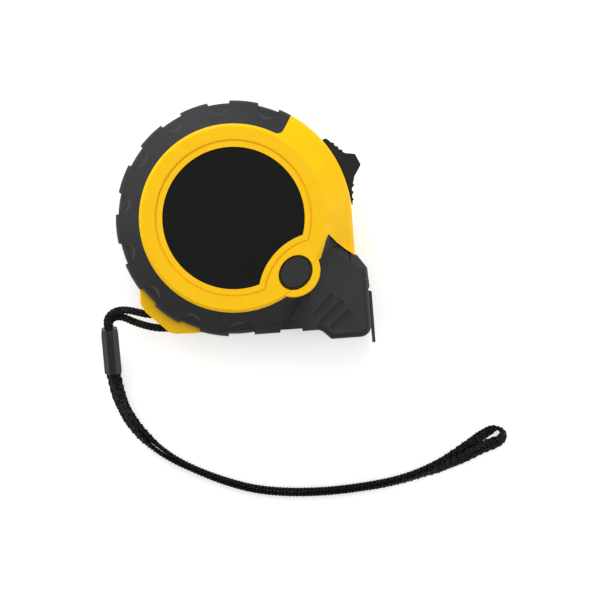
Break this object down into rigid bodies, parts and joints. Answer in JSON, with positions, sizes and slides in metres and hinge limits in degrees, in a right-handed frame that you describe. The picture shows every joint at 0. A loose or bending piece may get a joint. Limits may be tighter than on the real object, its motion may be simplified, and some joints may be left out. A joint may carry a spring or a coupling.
{
  "type": "tape measure",
  "caption": "Pocket steel tape in a round rubber-jacketed case, with a thumb lock, side brake button, end hook and a braided wrist strap on a crimped sleeve",
  "frame": {"origin": "on the spool axis, in the plane of the rear face that the case lies on", "axes": "+Z along the spool axis to the front face, +X to the mouth and end hook, +Y to the top of the case"},
  "size_m": [0.1211, 0.1221, 0.035],
  "materials": {
    "yellow_abs": "satin moulded ABS",
    "black_rubber": "fine matt texture, soft moulded",
    "badge_plastic": "fine grained flat insert",
    "lever_plastic": "satin",
    "drum_plastic": "satin",
    "ferrule_plastic": "semi-gloss",
    "blade_paint": "painted spring steel",
    "spring_steel": "oiled strip",
    "bright_steel": "plated",
    "screw_steel": "plated",
    "black_steel": "black oxide",
    "black_cord": "woven polyester braid"
  },
  "bodies": {
    "case": {"button_spring": "spring_steel", "case_screw_1": "screw_steel", "case_screw_2": "screw_steel", "case_screw_3": "screw_steel", "case_screw_4": "screw_steel", "centre_post": "bright_steel", "front_badge": "badge_plastic", "front_bumper": "black_rubber", "front_shell": "yellow_abs", "hitch_cord": "black_cord", "rear_badge": "badge_plastic", "rear_bumper": "black_rubber", "rear_shell": "yellow_abs", "strap_ferrule": "ferrule_plastic", "strap_post": "bright_steel", "wrist_strap": "black_cord"},
    "spool": {"drum": "drum_plastic", "drum_cover": "drum_plastic", "blade_coil": "blade_paint", "mainspring": "spring_steel"},
    "blade": {"blade": "blade_paint", "hook_rivet_1": "bright_steel", "hook_rivet_2": "bright_steel"},
    "hook": {"end_hook": "black_steel"},
    "lock": {"lock_lever": "lever_plastic", "lock_pad": "black_rubber"},
    "button": {"brake_button": "lever_plastic", "brake_pad": "black_rubber"}
  },
  "joints": [
    {"name": "spool_spin", "type": "hinge", "parent": "case", "child": "spool", "pos_m": [0, 0, 0.0175], "axis": [0, 0, 1], "range_deg": [0, 67.69], "stiffness_Nm_per_rad": 0.004, "springref_deg": -171.89},
    {"name": "blade_pull", "type": "slide", "parent": "case", "child": "blade", "axis": [1, 0, 0], "range_m": [0, 0.028]},
    {"name": "hook_play", "type": "slide", "parent": "blade", "child": "hook", "axis": [1, 0, 0], "range_m": [0, 0.0008]},
    {"name": "lock_slide", "type": "hinge", "parent": "case", "child": "lock", "pos_m": [0, 0, 0.0175], "axis": [0, 0, 1], "range_deg": [-9, 0]},
    {"name": "brake_press", "type": "slide", "parent": "case", "child": "button", "axis": [0, 0, -1], "range_m": [0, 0.0013], "stiffness_N_per_m": 600, "springref_m": -0.0008, "deforming": ["button_spring"]}
  ],
  "couplings": [
    {"joint": "blade_pull", "follows": "spool_spin", "m_per_rad": 0.0237}
  ]
}
